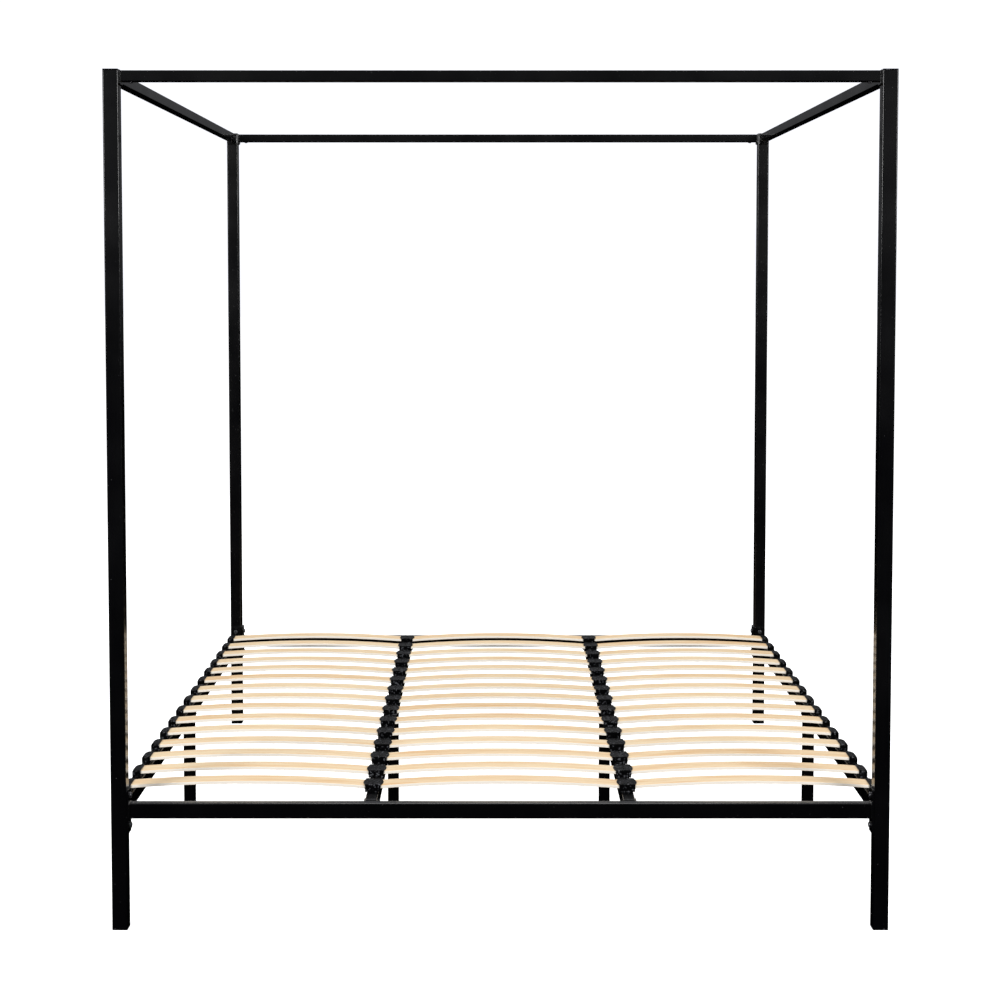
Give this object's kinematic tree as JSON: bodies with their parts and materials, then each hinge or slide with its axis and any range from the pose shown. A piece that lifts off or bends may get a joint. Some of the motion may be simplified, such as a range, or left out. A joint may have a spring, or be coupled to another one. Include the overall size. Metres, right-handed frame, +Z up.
{
  "type": "four poster canopy bed",
  "caption": "Four poster canopy bed frame of black square steel tube, with bowed birch slats in moulded holders on side and mid rails.",
  "frame": {"origin": "on the floor under the middle of the bed", "axes": "+X to the right seen from the foot, +Y from the foot to the head, +Z up"},
  "size_m": [1.906, 2.106, 2.1],
  "materials": {
    "black_steel": "black powder coat, semi-gloss with a faint orange peel",
    "black_plastic": "moulded black polypropylene, satin",
    "slat_birch": "pale laminated birch, smooth, clear sealed",
    "bolt_steel": "dark zinc plated steel"
  },
  "bodies": {
    "root": {"post_foot_left": "black_steel", "post_cap_foot_left": "black_plastic", "post_glide_foot_left": "black_plastic", "post_head_left": "black_steel", "post_cap_head_left": "black_plastic", "post_glide_head_left": "black_plastic", "post_foot_right": "black_steel", "post_cap_foot_right": "black_plastic", "post_glide_foot_right": "black_plastic", "post_head_right": "black_steel", "post_cap_head_right": "black_plastic", "post_glide_head_right": "black_plastic", "canopy_rail_foot": "black_steel", "canopy_rail_head": "black_steel", "canopy_rail_left": "black_steel", "canopy_rail_right": "black_steel", "foot_rail": "black_steel", "head_rail": "black_steel", "side_rail_left": "black_steel", "mid_rail_left": "black_steel", "rail_hanger_foot_left": "black_steel", "rail_hanger_head_left": "black_steel", "side_rail_right": "black_steel", "mid_rail_right": "black_steel", "rail_hanger_foot_right": "black_steel", "rail_hanger_head_right": "black_steel", "end_rail_bolts_foot_left": "bolt_steel", "side_rail_bolts_foot_left": "bolt_steel", "end_rail_bolts_head_left": "bolt_steel", "side_rail_bolts_head_left": "bolt_steel", "end_rail_bolts_foot_right": "bolt_steel", "side_rail_bolts_foot_right": "bolt_steel", "end_rail_bolts_head_right": "bolt_steel", "side_rail_bolts_head_right": "bolt_steel", "support_leg_outer_left": "black_steel", "leg_glide_outer_left": "black_plastic", "support_leg_inner_left": "black_steel", "leg_glide_inner_left": "black_plastic", "support_leg_outer_right": "black_steel", "leg_glide_outer_right": "black_plastic", "support_leg_inner_right": "black_steel", "leg_glide_inner_right": "black_plastic", "slat_row_01": "slat_birch", "slat_row_02": "slat_birch", "slat_row_03": "slat_birch", "slat_row_04": "slat_birch", "slat_row_05": "slat_birch", "slat_row_06": "slat_birch", "slat_row_07": "slat_birch", "slat_row_08": "slat_birch", "slat_row_09": "slat_birch", "slat_row_10": "slat_birch", "slat_row_11": "slat_birch", "slat_row_12": "slat_birch", "slat_row_13": "slat_birch", "slat_row_14": "slat_birch", "slat_row_15": "slat_birch"}
  },
  "joints": []
}
